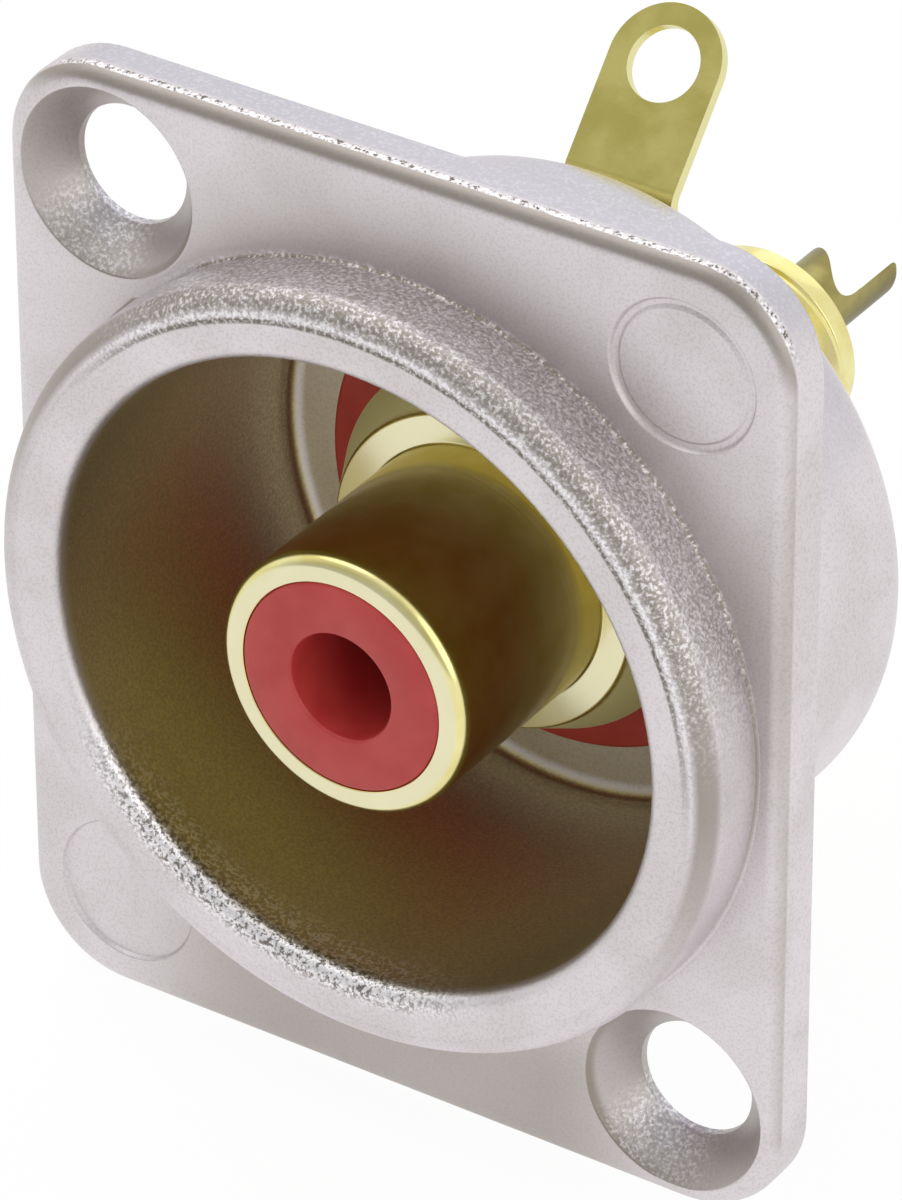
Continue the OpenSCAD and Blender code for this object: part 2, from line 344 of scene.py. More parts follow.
class Value:
    """A number in a shader; arithmetic on it adds Math nodes."""

    def __init__(self, desk: "ShaderDesk", socket: bpy.types.NodeSocket) -> None:
        """Wraps an output socket."""
        self.desk = desk
        self.socket = socket

    def _math(self, operation: str, *terms: Any) -> "Value":
        """Adds one Math node."""
        made = self.desk.node("ShaderNodeMath", {"operation": operation}, dict(enumerate(terms)))
        return Value(self.desk, made.outputs[0])

    def __add__(self, other: Any) -> "Value":
        """Sum."""
        return self._math("ADD", self, other)

    __radd__ = __add__

    def __sub__(self, other: Any) -> "Value":
        """Difference."""
        return self._math("SUBTRACT", self, other)

    def __rsub__(self, other: Any) -> "Value":
        """Difference from a number."""
        return self._math("SUBTRACT", other, self)

    def __mul__(self, other: Any) -> "Value":
        """Product."""
        return self._math("MULTIPLY", self, other)

    __rmul__ = __mul__

    def __truediv__(self, other: Any) -> "Value":
        """Quotient."""
        return self._math("DIVIDE", self, other)

    def __rtruediv__(self, other: Any) -> "Value":
        """Quotient of a number."""
        return self._math("DIVIDE", other, self)

    def root(self) -> "Value":
        """Square root."""
        return self._math("SQRT", self)

    def size(self) -> "Value":
        """Value without its sign."""
        return self._math("ABSOLUTE", self)

    def at_least(self, other: Any) -> "Value":
        """The larger of two values."""
        return self._math("MAXIMUM", self, other)

    def step(self, start: float, end: float) -> "Value":
        """Goes smoothly from 0 at start to 1 at end, which may be the lower of the two."""
        low, high = min(start, end), max(start, end)
        made = self.desk.node(
            "ShaderNodeMapRange",
            {"interpolation_type": "SMOOTHSTEP"},
            {"Value": self, "From Min": low, "From Max": high},
        )
        risen = Value(self.desk, made.outputs["Result"])
        return risen if end > start else 1.0 - risen

    def between(self, start: float, full: float, fade: float, end: float) -> "Value":
        """Rises from start to full, stays 1, and falls from fade to end."""
        return self.step(start, full) * self.step(end, fade)


class ShaderDesk:
    """Makes the nodes of one material or world."""

    def __init__(self, tree: bpy.types.NodeTree) -> None:
        """Empties the tree."""
        self.tree = tree
        tree.nodes.clear()

    def node(
        self,
        kind: str,
        settings: dict[str, Any] | None = None,
        sockets: dict[Any, Any] | None = None,
    ) -> bpy.types.Node:
        """Adds one node.

        Args:
            kind: The node's type.
            settings: Its properties, set first.
            sockets: Values or links of its inputs, by name or number.

        Returns:
            The node.
        """
        made = self.tree.nodes.new(kind)
        for key, value in (settings or {}).items():
            setattr(made, key, value)
        for key, value in (sockets or {}).items():
            source = value.socket if isinstance(value, Value) else value
            if isinstance(source, bpy.types.NodeSocket):
                self.tree.links.new(source, made.inputs[key])
            else:
                made.inputs[key].default_value = source
        return made

    def place(self) -> tuple[Value, Value, Value, bpy.types.NodeSocket]:
        """Gives x, y, z in millimetres and the plain object coordinates."""
        source = self.node("ShaderNodeTexCoord").outputs["Object"]
        parts = self.node("ShaderNodeSeparateXYZ", sockets={0: source})
        x, y, z = (Value(self, parts.outputs[i]) * (1 / MM) for i in range(3))
        return x, y, z, source

    def facing(self, direction: Sequence[float]) -> Value:
        """Gives how squarely the surface looks in a direction, from -1 to 1."""
        normal = self.node("ShaderNodeTexCoord").outputs["Normal"]
        made = self.node(
            "ShaderNodeVectorMath", {"operation": "DOT_PRODUCT"}, {0: normal, 1: direction}
        )
        return Value(self, made.outputs["Value"])

    def noise(
        self, where: Any, size: float, detail: float, roughness: float, lift: float = 0.0
    ) -> Value:
        """Adds a noise whose features are about so many millimetres across.

        Args:
            where: Coordinates in metres.
            size: Size of a feature in millimetres.
            detail: Number of finer layers.
            roughness: Weight of the finer layers.
            lift: Offset that makes each noise its own.

        Returns:
            The noise's value, about 0.5 on the whole.
        """
        moved = self.node(
            "ShaderNodeVectorMath", {"operation": "ADD"}, {0: where, 1: (lift, lift, lift)}
        )
        made = self.node(
            "ShaderNodeTexNoise",
            {"noise_dimensions": "3D"},
            {
                "Vector": moved.outputs[0],
                "Scale": 1 / (size * MM),
                "Detail": detail,
                "Roughness": roughness,
            },
        )
        return Value(self, made.outputs[0])

    def blend(self, share: Any, first: Any, second: Any) -> bpy.types.NodeSocket:
        """Mixes two colours by a share."""
        made = self.node("ShaderNodeMix", {"data_type": "RGBA"}, {0: share, 6: first, 7: second})
        return made.outputs[2]

    def bump(self, height: Value, depth: float, below: Any = None) -> bpy.types.NodeSocket:
        """Adds a bump whose full height is so many millimetres."""
        sockets = {"Height": height, "Distance": depth * MM, "Strength": 1.0}
        if below is not None:
            sockets["Normal"] = below
        return self.node("ShaderNodeBump", sockets=sockets).outputs[0]

    def principled(self, sockets: dict[str, Any]) -> None:
        """Ends the material in a Principled shader with the given sockets."""
        shader = self.node("ShaderNodeBsdfPrincipled", sockets=sockets)
        self.node("ShaderNodeOutputMaterial", sockets={"Surface": shader.outputs[0]})


def new_material(name: str) -> tuple[bpy.types.Material, ShaderDesk]:
    """Makes an empty material and the desk for its nodes."""
    made = bpy.data.materials.new(name)
    made.use_nodes = True
    return made, ShaderDesk(made.node_tree)


def rgb(red: float, green: float, blue: float) -> Colour:
    """Turns a colour seen on screen, 0 to 255, into a linear shader colour."""
    return (*(math.pow(c / 255, SCREEN_GAMMA) for c in (red, green, blue)), 1.0)


# ---------------------------------------------------------------- finishes


@dataclass(frozen=True)
class CastingPlaces:
    """Shares that pick out the places of the casting, from 0 to 1.

    Args:
        inside: The bowl's wall.
        collar: The collar's side with its rounded front edge.
        lit: The part of it that looks up.
        hole: The cones of the screw holes.
        lip: The lower part of the bowl's lip.
        rounding: The flange's front edge where it looks up.
        side: The flange's sides and the rear body where they look up.
        sparkle_mask: Where the grain sparkles: painted highlights and dark specks, and a stronger
            bump.
        painted_shade: Where shade is painted, so that the nickel is darker.
        seam: The painted shade line round the collar's front, where it looks up.
        glint: Painted highlights: the bright lines along the lip and outside the seam.
        spill: The wall next to the lip, where single grains still catch the light.
    """

    inside: Value
    collar: Value
    lit: Value
    hole: Value
    lip: Value
    rounding: Value
    side: Value
    sparkle_mask: Value
    painted_shade: Value
    seam: Value
    glint: Value
    spill: Value

    @classmethod
    def found(cls, desk: ShaderDesk, x: Value, y: Value, z: Value) -> "CastingPlaces":
        """Finds the places from where a point lies and from which way its surface looks.

        Args:
            desk: Desk of the material.
            x: Place across, in millimetres like y and z.
            y: Place along the axis.
            z: Height.

        Returns:
            The places.
        """
        r = (x * x + z * z).root()
        beside, over = x.size() - SCREW_X, z.size() - SCREW_Z
        from_hole = (beside * beside + over * over).root()
        above = (x * SKY[0] + z * SKY[2]) / r
        under_axis = (0.0 - above).step(0.6, 0.95)
        facing = desk.facing(ACROSS).size()
        upward = desk.facing(SKY)
        flange_front = y.step(-1.4, -1.6)
        flange_rim = r.step(12.3, 12.6) * from_hole.step(2.5, 2.7)

        inside = r.step(10.35, 9.95) * y.between(-3.75, -3.3, 7.5, 7.66)
        collar = r.between(11.28, 11.36, 12.2, 12.35) * y.step(-1.62, -1.78)
        lit = collar * above.step(0.35, 0.75)
        lip = r.step(10.9, 10.4) * y.step(-3.0, -3.5) * under_axis
        hole = from_hole.step(3.05, 2.95) * (x * z).step(0.0, -20.0) * facing.step(0.9, 0.75)
        rounding = facing.step(0.5, 0.35) * y.step(-1.1, -1.2) * flange_rim * upward.step(0.5, 0.75)
        side = y.step(-1.15, -1.0) * upward.step(0.6, 1.0) * r.step(10.3, 10.5)
        # Painted sparkle: where these places look up, the grain gets painted highlights and dark
        # specks.
        cone_glow = hole * upward.step(0.45, 0.75)
        sparkle_mask = lit * 0.85 + lip + cone_glow * 0.5 + rounding * (1.0 - hole) + side * 0.2

        # Painted shade: the collar's rounding, dimmed where its highlight falls, its foot, the hole
        # cones, and painted dark reflections on the flange's lower strip and its top-edge band.
        shaded_round = collar * above.step(-0.4, 0.4) * facing.between(0.1, 0.5, 0.85, 0.995)
        foot = r.between(12.0, 12.2, 12.2, 15.6) * flange_front * above.step(-0.1, 0.8)
        strip = z.step(-8.0, -13.0) * x.size().step(11.0, 5.0) * flange_front * r.step(12.0, 12.2)
        band = facing.between(0.35, 0.5, 0.9, 0.995) * upward.step(0.1, 0.5) * flange_rim
        painted_shade = shaded_round * 0.75 + foot * 0.4 + strip * 0.6 + hole * 0.5 + band * (1.0 - hole) * 0.8

        # Painted shade: a dark line round the collar's front edge, where it looks up.
        seam = r.between(11.14, 11.24, 11.3, 11.4) * y.step(-3.8, -4.0) * above.step(0.2, 0.7)
        # Painted highlights: lines along the lip and outside the seam, and single grains on the wall.
        lip_line = lip * r.between(9.98, 10.1, 10.2, 10.45)
        seam_line = collar * r.between(11.4, 11.45, 11.5, 11.58) * above.step(0.0, 0.7)
        glint = (lip_line + seam_line) * 0.6
        spill = y.step(-1.6, -3.3) * under_axis
        return cls(
            inside, collar, lit, hole, lip, rounding, side, sparkle_mask, painted_shade, seam, glint, spill
        )


@dataclass(frozen=True)
class CastNickel:
    """Satin nickel on a fine-grained zinc casting.

    The flat front is quiet. Where the collar's side, the bowl's lip, the screw holes and the
    flange's front edge look up, the grain's sparkle is painted: highlights on its crests and
    dark specks. Painted shade darkens the collar's rounding and foot, the hole cones, and the
    flange's lower strip and the band along its top edge; the sides that look up take a cooler
    painted shade. The bowl's wall is smoother, and browner by a painted reflection of the gold.

    Args:
        clean: Colour of the flat front.
        hollow_and_shade: Colour in the hollows of the grain, and of the painted shade.
        pit_and_shade: Colour of the painted dark specks in the grain's pits and of the painted seam
            line.
        highlight_white: Colour of the painted highlights on the grain's crests and on single grains.
        top_shade: Painted shade, cooler and darker, of the sides that look up.
        inside: Colour of the bowl's wall, browner by a painted reflection of the gold.
        grain: Size of the casting's grain.
        cloud: Size of the faint clouds on it.
        depth: Height of the quiet grain.
        rough_depth: Height of the sparkling grain.
        rough: Roughness of the flat front.
    """

    clean: Colour = rgb(224, 218, 221)
    hollow_and_shade: Colour = rgb(150, 142, 131)
    pit_and_shade: Colour = rgb(88, 82, 64)
    highlight_white: Colour = rgb(250, 248, 250)
    top_shade: Colour = rgb(190, 188, 197)
    inside: Colour = rgb(208, 196, 154)
    grain: float = 0.09
    cloud: float = 3.5
    depth: float = 0.004
    rough_depth: float = 0.03
    rough: float = 0.46

    def made(self) -> bpy.types.Material:
        """Builds the material."""
        material, desk = new_material("satin_nickel_casting")
        x, y, z, where = desk.place()
        at = CastingPlaces.found(desk, x, y, z)
        fine = desk.noise(where, self.grain, 2.0, 0.55)
        coarse = desk.noise(where, self.grain * 1.3, 2.0, 0.6, 0.013)
        clumps = desk.noise(where, self.grain * 2.4, 2.0, 0.7, 0.021)
        cloud = desk.noise(where, self.cloud, 2.0, 0.5, 0.031)
        mottle = coarse * 0.6 + clumps * 0.4

        pits = fine.step(0.55, 0.35) * 0.2 + cloud.step(0.6, 0.35) * 0.14
        quiet = desk.blend(pits, self.clean, self.hollow_and_shade)
        # Painted shade: the collar's rounding and foot, the hole cones, the flange's strip and band.
        with_shade = desk.blend(at.painted_shade, quiet, self.hollow_and_shade)
        # Painted shade, cooler and darker, on the sides that look up.
        with_top_shade = desk.blend(at.side * 0.85, with_shade, self.top_shade)
        # Painted shade line round the collar's front.
        with_seam_shade = desk.blend(at.seam * coarse.step(0.75, 0.4) * 0.85, with_top_shade, self.pit_and_shade)

        # Painted sparkle: dark specks, then highlights on the grain's crests and the painted glints.
        specks = coarse.step(0.48, 0.36) * (at.collar * 0.3 + at.rounding * 0.9 + at.hole * 0.3)
        specks = specks + mottle.step(0.52, 0.42) * at.lip * 0.75
        crests = (at.sparkle_mask - at.lit * 0.15) * coarse.step(0.48, 0.66)
        crests = crests + at.glint * mottle.step(0.42, 0.5)
        with_dark_specks = desk.blend(at.sparkle_mask * specks, with_seam_shade, self.pit_and_shade)
        with_highlights = desk.blend(crests, with_dark_specks, self.highlight_white)

        # The bowl's wall, mottled by its grain; its brown tint is a painted reflection of the gold.
        wall = desk.blend(fine.step(0.3, 0.7) * 0.5, self.inside, self.hollow_and_shade)
        # Painted highlights on single grains of the wall next to the lip.
        grains = at.spill * at.spill * mottle.step(0.48, 0.56) * 0.8
        wall = desk.blend(grains, wall, self.highlight_white)

        smoother = at.sparkle_mask * 0.08 + at.inside * 0.08 - at.collar * 0.1
        quiet_bump = desk.bump(fine * (1.0 - at.inside * 0.7), self.depth)
        desk.principled(
            {
                "Base Color": desk.blend(at.inside, with_highlights, wall),
                "Metallic": 1.0,
                "Roughness": self.rough + (fine - 0.5) * 0.2 - smoother,
                "Normal": desk.bump(coarse * at.sparkle_mask, self.rough_depth, quiet_bump),
            }
        )
        return material


@dataclass(frozen=True)
class GoldPlate:
    """Thin gold plate on brass, with faint marks of the tool that shaped it.

    Args:
        name: Name of the material.
        bright: Colour where the plate is cleanest.
        deep: Colour where it is darker.
        pale: Colour of the faces square to the axis on turned parts, and of the sheet's edges.
        rough: Roughness of the clean plate.
        turned: Whether the marks are rings round the socket's axis.
        darkening: How far the undersides get painted shade and the tail is darker.
        satin_lit_tone: Satin cone and shoulder behind the step ring, paler by painted light.
        dark_tone: Colour of the painted shade and of the darker tail.
    """

    name: str = "turned_gold_plate"
    bright: Colour = rgb(238, 230, 166)
    deep: Colour = rgb(226, 214, 140)
    pale: Colour = rgb(228, 223, 195)
    rough: float = 0.2
    turned: bool = True
    darkening: float = 0.0
    satin_lit_tone: Colour = rgb(250, 245, 184)
    dark_tone: Colour = rgb(96, 86, 40)

    def made(self) -> bpy.types.Material:
        """Builds the material."""
        material, desk = new_material(self.name)
        x, y, z, where = desk.place()
        soft = desk.noise(where, 1.6, 3.0, 0.55)
        plain = desk.blend(soft.step(0.35, 0.68), self.deep, self.bright)
        if self.turned:
            r = (x * x + z * z).root()
            rings = desk.node("ShaderNodeCombineXYZ", sockets={0: r * MM, 1: y * MM})
            marks, mark_depth = desk.noise(rings.outputs[0], 0.07, 2.0, 0.6), 0.0012
            cut = desk.facing(ACROSS).size().step(0.8, 0.98) * 0.75
            satin = r.step(4.2, 4.5) * y.between(2.9, 3.1, 6.7, 6.9)
            # Painted shade on the undersides; the tail is also darker towards its end.
            underside = desk.facing((0.3, -0.3, -0.9)).step(0.0, 0.7)
            dark_share = (underside + y.step(18.6, 23.0) * 0.6) * self.darkening
        else:
            marks, mark_depth = desk.noise(where, 0.12, 3.0, 0.6), 0.003
            cut = desk.facing(TAB_FACE).size().step(0.6, 0.3) * 0.8
            satin = dark_share = soft * 0.0
        faced = desk.blend(cut, plain, self.pale)
        # The satin cone and shoulder: their own finish, made paler by painted light, as they lie in
        # shade.
        satin_lit = desk.blend(satin, faced, self.satin_lit_tone)
        desk.principled(
            {
                "Base Color": desk.blend(dark_share, satin_lit, self.dark_tone),
                "Metallic": 1.0 - satin * 0.9,
                "Roughness": self.rough + (soft - 0.5) * 0.12 + satin * 0.2,
                "Normal": desk.bump(marks, mark_depth),
            }
        )
        return material


@dataclass(frozen=True)
class MouldedPlastic:
    """Moulded plastic with a fine skin.

    Args:
        name: Name of the material.
        main: Its colour.
        faded: Its colour where it is a little paler.
        rough: Roughness.
        skin: Height of the skin's grain.
    """

    name: str
    main: Colour
    faded: Colour
    rough: float = 0.38
    skin: float = 0.0025

    def made(self) -> bpy.types.Material:
        """Builds the material."""
        material, desk = new_material(self.name)
        where = desk.place()[3]
        soft = desk.noise(where, 1.3, 2.0, 0.5)
        fine = desk.noise(where, 0.09, 2.0, 0.55, 0.02)
        desk.principled(
            {
                "Base Color": desk.blend(soft.step(0.3, 0.7), self.main, self.faded),
                "Roughness": self.rough + (fine - 0.5) * 0.2,
                "Normal": desk.bump(fine, self.skin),
            }
        )
        return material


# ---------------------------------------------------------------- pieces


@dataclass
class Housing:
    """The die-cast cup with its flange."""

    flange_w: float = 26.0
    flange_h: float = 31.0
    flange_t: float = 1.7
    corner_r: float = 3.2
    corner_steps: int = 16
    front_edge: float = 0.6
    front_steps: int = 7
    rear_edge: float = 0.15
    rear_steps: int = 3
    collar_r: float = 12.1
    collar_front: float = -4.12
    collar_edge: float = 0.8
    foot: float = 0.15
    mouth_r: float = 10.0
    lip: float = 0.5
    floor_r: float = 9.85
    floor_y: float = 7.68
    floor_fillet: float = 0.5
    body_r: float = 10.7
    body_end: float = 9.32
    body_edge: float = 1.6
    floor_hole_r: float = 4.1
    lap: float = 0.2
    hole_r: float = 1.85
    hole_flare: float = 0.12
    sink_r: float = 2.95
    sink_depth: float = 1.3
    recess_r: float = 2.35
    recess_depth: float = 0.15
    ring_depth: float = 0.09

    def plate(self) -> Solid:
        """Makes the flange, with the middle left out for the cup."""
        w, h = self.flange_w / 2, self.flange_h / 2
        made = Solid.block((-w, -self.flange_t, -h), (w, 0, h))

        def runs_along_y(edge: bmesh.types.BMEdge) -> bool:
            """True for the four corner edges."""
            return abs(edge.verts[0].co.y - edge.verts[1].co.y) > 1.0

        def on_face(y: float) -> Callable[[bmesh.types.BMEdge], bool]:
            """Test for the edges round the face at y."""

            def wanted(edge: bmesh.types.BMEdge) -> bool:
                """True for an edge between that face and a side."""
                return all(abs(v.co.y - y) < EXACT for v in edge.verts)

            return wanted

        made.softened(self.corner_r, self.corner_steps, runs_along_y)
        made.softened(self.front_edge, self.front_steps, on_face(-self.flange_t))
        made.softened(self.rear_edge, self.rear_steps, on_face(0.0))
        middle = Solid.rod(self.body_r - self.lap, -self.flange_t - OVER, OVER)
        return made.combined(middle, Join.CUT)

    def cup(self) -> Solid:
        """Makes the collar, the bowl and the rear body as one turned shell."""
        mid = -self.flange_t / 2
        face = 2 * SKIN - self.flange_t
        foot_r = self.collar_r + self.foot
        return Solid.turned(
            [
                Corner(self.mouth_r, self.collar_front, self.lip),
                Corner(self.collar_r, self.collar_front, self.collar_edge),
                Corner(self.collar_r, face, self.foot),
                Corner(foot_r, face),
                Corner(foot_r, mid),
                Corner(self.body_r, mid),
                Corner(self.body_r, self.body_end, self.body_edge),
                Corner(self.floor_hole_r, self.body_end, 0.15),
                Corner(self.floor_hole_r, self.floor_y, 0.1),
                Corner(self.floor_r, self.floor_y, self.floor_fillet),
            ]
        )

    def screw_hole(self) -> Solid:
        """Makes the cutter of a countersunk hole on the Y axis."""
        face = -self.flange_t
        rim_r, flared_r = self.sink_r + 0.6, self.hole_r + self.hole_flare
        return Solid.turned(
            [
                Corner(0, face - OVER),
                Corner(rim_r, face - OVER),
                Corner(rim_r, face - SKIN),
                Corner(self.sink_r, face - SKIN, 0.12),
                Corner(self.hole_r, face + self.sink_depth, 0.08),
                Corner(self.hole_r, -self.hole_flare),
                Corner(flared_r, 0.0),
                Corner(flared_r, OVER),
                Corner(0, OVER),
            ],
            96,
        )

    def recess(self, ring: bool) -> Solid:
        """Makes the cutter of a shallow round recess on the Y axis.

        Args:
            ring: Whether a deeper ring runs round its foot.

        Returns:
            The cutter.
        """
        face, radius = -self.flange_t, self.recess_r
        foot = face + self.recess_depth
        level = foot - self.ring_depth if ring else foot
        corners = [Corner(0, level)]
        if ring:
            corners += [Corner(radius - 0.34, level, 0.05), Corner(radius - 0.24, foot, 0.04)]
        corners += [
            Corner(radius - 0.08, foot, 0.05),
            Corner(radius, face - SKIN, 0.06),
            Corner(radius + 0.4, face - SKIN),
            Corner(radius + 0.4, face - OVER),
            Corner(0, face - OVER),
        ]
        return Solid.turned(corners, 96)

    def build(self, nickel: bpy.types.Material) -> None:
        """Builds the housing and hands it over."""
        made = self.plate().combined(self.cup(), Join.ADD)
        for side in (-1, 1):
            x, z = side * SCREW_X, side * SCREW_Z
            made = made.combined(self.screw_hole().moved(x=x, z=-z), Join.CUT)
            made = made.combined(self.recess(side > 0).moved(x=x, z=z), Join.CUT)
        made.finished("housing_casting", Slot.NICKEL, nickel, "housing")


@dataclass
class Insulators:
    """The plastic pieces round the contacts."""

    insert_r: float = 3.3
    front_y: float = -4.28
    pin_hole_r: float = 1.675
    pin_hole_end: float = -0.88
    room_r: float = 2.15
    insert_back: float = 4.62
    disc_back: float = 5.62
    washer_r: float = 7.6
    washer_front: float = 6.53
    washer_back: float = 7.68
    over_stem_r: float = 3.2
    bush_r: float = 6.5
    bush_front: float = 9.32
    bush_rear: float = 9.92
    neck_r: float = 4.0
    neck_front: float = 7.78
    sleeve_r: float = 2.0
    sleeve_bore_r: float = 1.26
    stem_end: float = 18.33

    def build(self, red: bpy.types.Material, white: bpy.types.Material) -> None:
        """Builds the insert, the washer, the rear bush and the sleeve."""
        Solid.turned(
            [
                Corner(self.pin_hole_r, self.front_y, 0.12),
                Corner(self.insert_r, self.front_y, 0.12),
                Corner(self.insert_r, self.insert_back),
                Corner(self.room_r, self.insert_back),
                Corner(self.room_r, self.pin_hole_end),
                Corner(self.pin_hole_r, self.pin_hole_end),
            ]
        ).finished("red_insert", Slot.RED, red, "front_insulator")
        Solid.turned(
            [
                Corner(self.over_stem_r, self.washer_front, 0.08),
                Corner(self.washer_r, self.washer_front, 0.15),
                Corner(self.washer_r, self.washer_back, 0.1),
                Corner(self.over_stem_r, self.washer_back),
            ]
        ).finished("red_front_washer", Slot.RED, red, "front_washer")
        Solid.turned(
            [
                Corner(self.over_stem_r, self.neck_front, 0.08),
                Corner(self.neck_r, self.neck_front, 0.15),
                Corner(self.neck_r, self.bush_front),
                Corner(self.bush_r, self.bush_front, 0.1),
                Corner(self.bush_r, self.bush_rear, 0.2),
                Corner(self.over_stem_r, self.bush_rear, 0.08),
            ]
        ).finished("red_rear_bush", Slot.RED, red, "rear_bush")
        Solid.turned(
            [
                Corner(self.sleeve_bore_r, self.insert_back),
                Corner(self.insert_r, self.insert_back),
                Corner(self.insert_r, self.disc_back),
                Corner(self.sleeve_r, self.disc_back),
                Corner(self.sleeve_r, self.stem_end, 0.1),
                Corner(self.sleeve_bore_r, self.stem_end, 0.1),
            ]
        ).finished("white_stem_sleeve", Slot.WHITE, white, "stem_insulator")


@dataclass
class OuterContact:
    """The turned gold contact: barrel, step ring, cone, shoulder and threaded stem."""

    barrel_r: float = 4.1
    front_y: float = -4.28
    front_edge: float = 0.45
    bore_r: float = 3.3
    ring_r: float = 5.0
    ring_y: float = 2.87
    shoulder_r: float = 5.9
    cone_end: float = 4.57
    shoulder_end: float = 6.53
    stem_r: float = 3.15
    stem_end: float = 18.33
    chamfer: float = 0.15
    stem_bore_r: float = 2.0
    bore_end: float = 5.62
    pitch: float = 0.79
    root_r: float = 2.7
    thread_start: float = 8.5
    thread_end: float = 17.6
    run_out: float = 0.3
    steps_a_turn: int = 72

    def body(self) -> Solid:
        """Makes the contact without its thread."""
        end = self.stem_end
        return Solid.turned(
            [
                Corner(self.bore_r, self.front_y, 0.06),
                Corner(self.barrel_r, self.front_y, self.front_edge),
                Corner(self.barrel_r, self.ring_y, 0.08),
                Corner(self.ring_r, self.ring_y, 0.08),
                Corner(self.shoulder_r, self.cone_end, 0.12),
                Corner(self.shoulder_r, self.shoulder_end, 0.12),
                Corner(self.stem_r, self.shoulder_end),
                Corner(self.stem_r, self.thread_start),
                Corner(self.root_r, self.thread_start + self.run_out),
                Corner(self.root_r, self.thread_end - self.run_out),
                Corner(self.stem_r, self.thread_end, 0.05),
                Corner(self.stem_r, end, self.chamfer),
                Corner(self.stem_bore_r, end, 0.1),
                Corner(self.stem_bore_r, self.bore_end),
                Corner(self.bore_r, self.bore_end),
            ]
        )

    def thread(self) -> Solid:
        """Makes the thread's ridge as a helix, trimmed to its length."""
        mesh = bmesh.new()
        foot, crest = self.pitch * 0.46, self.pitch * 0.08
        inner = self.root_r - 0.15
        section = [(inner, -foot), (self.root_r, -foot), (self.stem_r, -crest)]
        section += [(self.stem_r, crest), (self.root_r, foot), (inner, foot)]
        rim = [mesh.verts.new((r, self.thread_start - OVER + y, 0.0)) for r, y in section]
        face = mesh.faces.new(rim)
        turns = (self.thread_end - self.thread_start + 3 * OVER) / self.pitch
        steps = round(turns * self.steps_a_turn)
        bmesh.ops.spin(
            mesh,
            geom=[face],
            cent=(0, 0, 0),
            axis=(0, 1, 0),
            dvec=(0, self.pitch / self.steps_a_turn, 0),
            angle=math.tau * steps / self.steps_a_turn,
            steps=steps,
            use_merge=False,
            use_duplicate=False,
        )
        bmesh.ops.recalc_face_normals(mesh, faces=mesh.faces)
        core, outer = self.root_r - OVER, self.stem_r + 0.1
        start, end = self.thread_start, self.thread_end - 0.05
        corners = [Corner(core, start), Corner(outer, start), Corner(outer, end), Corner(core, end)]
        return Solid(mesh).combined(Solid.turned(corners, 96), Join.KEEP_COMMON)

    def build(self, gold: bpy.types.Material) -> None:
        """Builds the contact and hands it over."""
        made = self.body().combined(self.thread(), Join.ADD)
        made.finished("gold_outer_contact", Slot.GOLD, gold, "outer_contact", 25.0)


@dataclass
class CentreContact:
    """The gold spring tube with its shank and open solder cup."""

    tube_r: float = 2.1
    tube_bore_r: float = 1.625
    tube_front: float = -0.88
    tube_back: float = 4.62
    tube_floor: float = 4.12
    slot: float = 0.4
    slot_end: float = 3.72
    slots: int = 4
    shank_r: float = 1.21
    tail_end: float = 23.93
    cup_bore_r: float = 0.85
    cup_depth: float = 3.6
    cut_length: float = 2.8
    cut_r: float = 0.6
    beak_slope: float = 36.0
    cutter_reach: float = 5.0
    cutter_half: float = 3.0
    drop: float = 0.6
    end_r: float = 0.3
    turn: float = 49.0
    tip: float = 0.45

    def mouth_cutter(self) -> Solid:
        """Makes the cutter that opens the cup between its beak and its prong."""
        slope = math.radians(self.beak_slope)
        corner_y = self.tail_end - self.cut_length + self.cut_r - self.cut_r / math.tan(slope / 2)
        level, low, behind = -self.drop, -self.drop - self.end_r, self.tail_end + 2 * OVER
        beyond = self.cutter_reach * math.sin(slope) + level
        cutter = Solid.prism(
            [
                Corner(level, corner_y, self.cut_r),
                Corner(beyond, corner_y + self.cutter_reach * math.cos(slope)),
                Corner(beyond, behind),
                Corner(low, behind),
                Corner(low, self.tail_end),
                Corner(level, self.tail_end, self.end_r),
            ],
            self.cutter_half,
        )
        return cutter.rotated(-90 - self.turn, "Y")

    def build(self, gold: bpy.types.Material) -> None:
        """Builds the contact and hands it over."""
        made = Solid.turned(
            [
                Corner(0, self.tube_floor),
                Corner(self.tube_bore_r, self.tube_floor, 0.1),
                Corner(self.tube_bore_r, self.tube_front, 0.12),
                Corner(self.tube_r, self.tube_front, 0.12),
                Corner(self.tube_r, self.tube_back),
                Corner(self.shank_r, self.tube_back),
                Corner(self.shank_r, self.tail_end, 0.12),
                Corner(self.cup_bore_r, self.tail_end, 0.1),
                Corner(self.cup_bore_r, self.tail_end - self.cup_depth),
                Corner(0, self.tail_end - self.cup_depth - self.tip),
            ],
            96,
        )
        for i in range(self.slots):
            half = self.slot / 2
            slit = Solid.block((0, self.tube_front - OVER, -half), (3, self.slot_end, half))
            made = made.combined(slit.rotated(45 + i * 360 / self.slots, "Y"), Join.CUT)
        made = made.combined(self.mouth_cutter(), Join.CUT)
        piece = made.finished("gold_centre_contact", Slot.GOLD, gold, "centre_contact", 30.0)
        ease_edges(piece, 0.07, 40.0)


